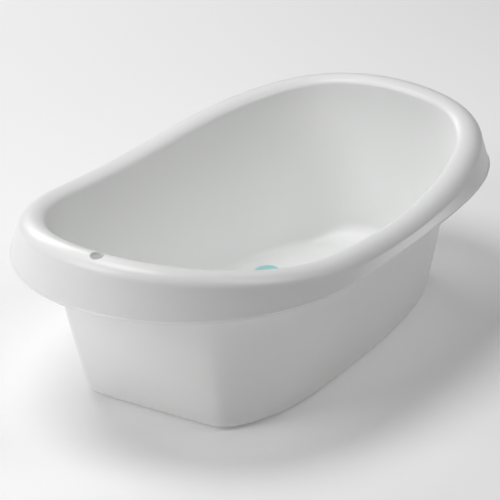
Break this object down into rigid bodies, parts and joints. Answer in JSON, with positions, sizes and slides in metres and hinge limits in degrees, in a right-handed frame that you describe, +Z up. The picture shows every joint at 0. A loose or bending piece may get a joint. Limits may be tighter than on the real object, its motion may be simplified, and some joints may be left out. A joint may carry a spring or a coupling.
{
  "type": "baby bathtub",
  "caption": "Free-standing moulded baby bathtub with a rolled, skirted rim that rises at both ends, a hanging hole, a ramped floor end and soft grip feet moulded through its floor.",
  "frame": {"origin": "on the ground, under the middle of the tub's bounding box", "axes": "+X runs along the tub from the high end with the hanging hole to the low end with the floor ramp; +Y across the tub; +Z up; the plane y = 0 is the plane of symmetry"},
  "size_m": [0.7, 0.433, 0.2451],
  "materials": {
    "white_plastic": "satin moulded polypropylene",
    "grip_elastomer": "matte thermoplastic elastomer"
  },
  "bodies": {
    "root": {"tub_shell": "white_plastic", "grip_foot_1": "grip_elastomer", "grip_foot_2": "grip_elastomer", "grip_foot_3": "grip_elastomer", "grip_foot_4": "grip_elastomer"}
  },
  "joints": []
}
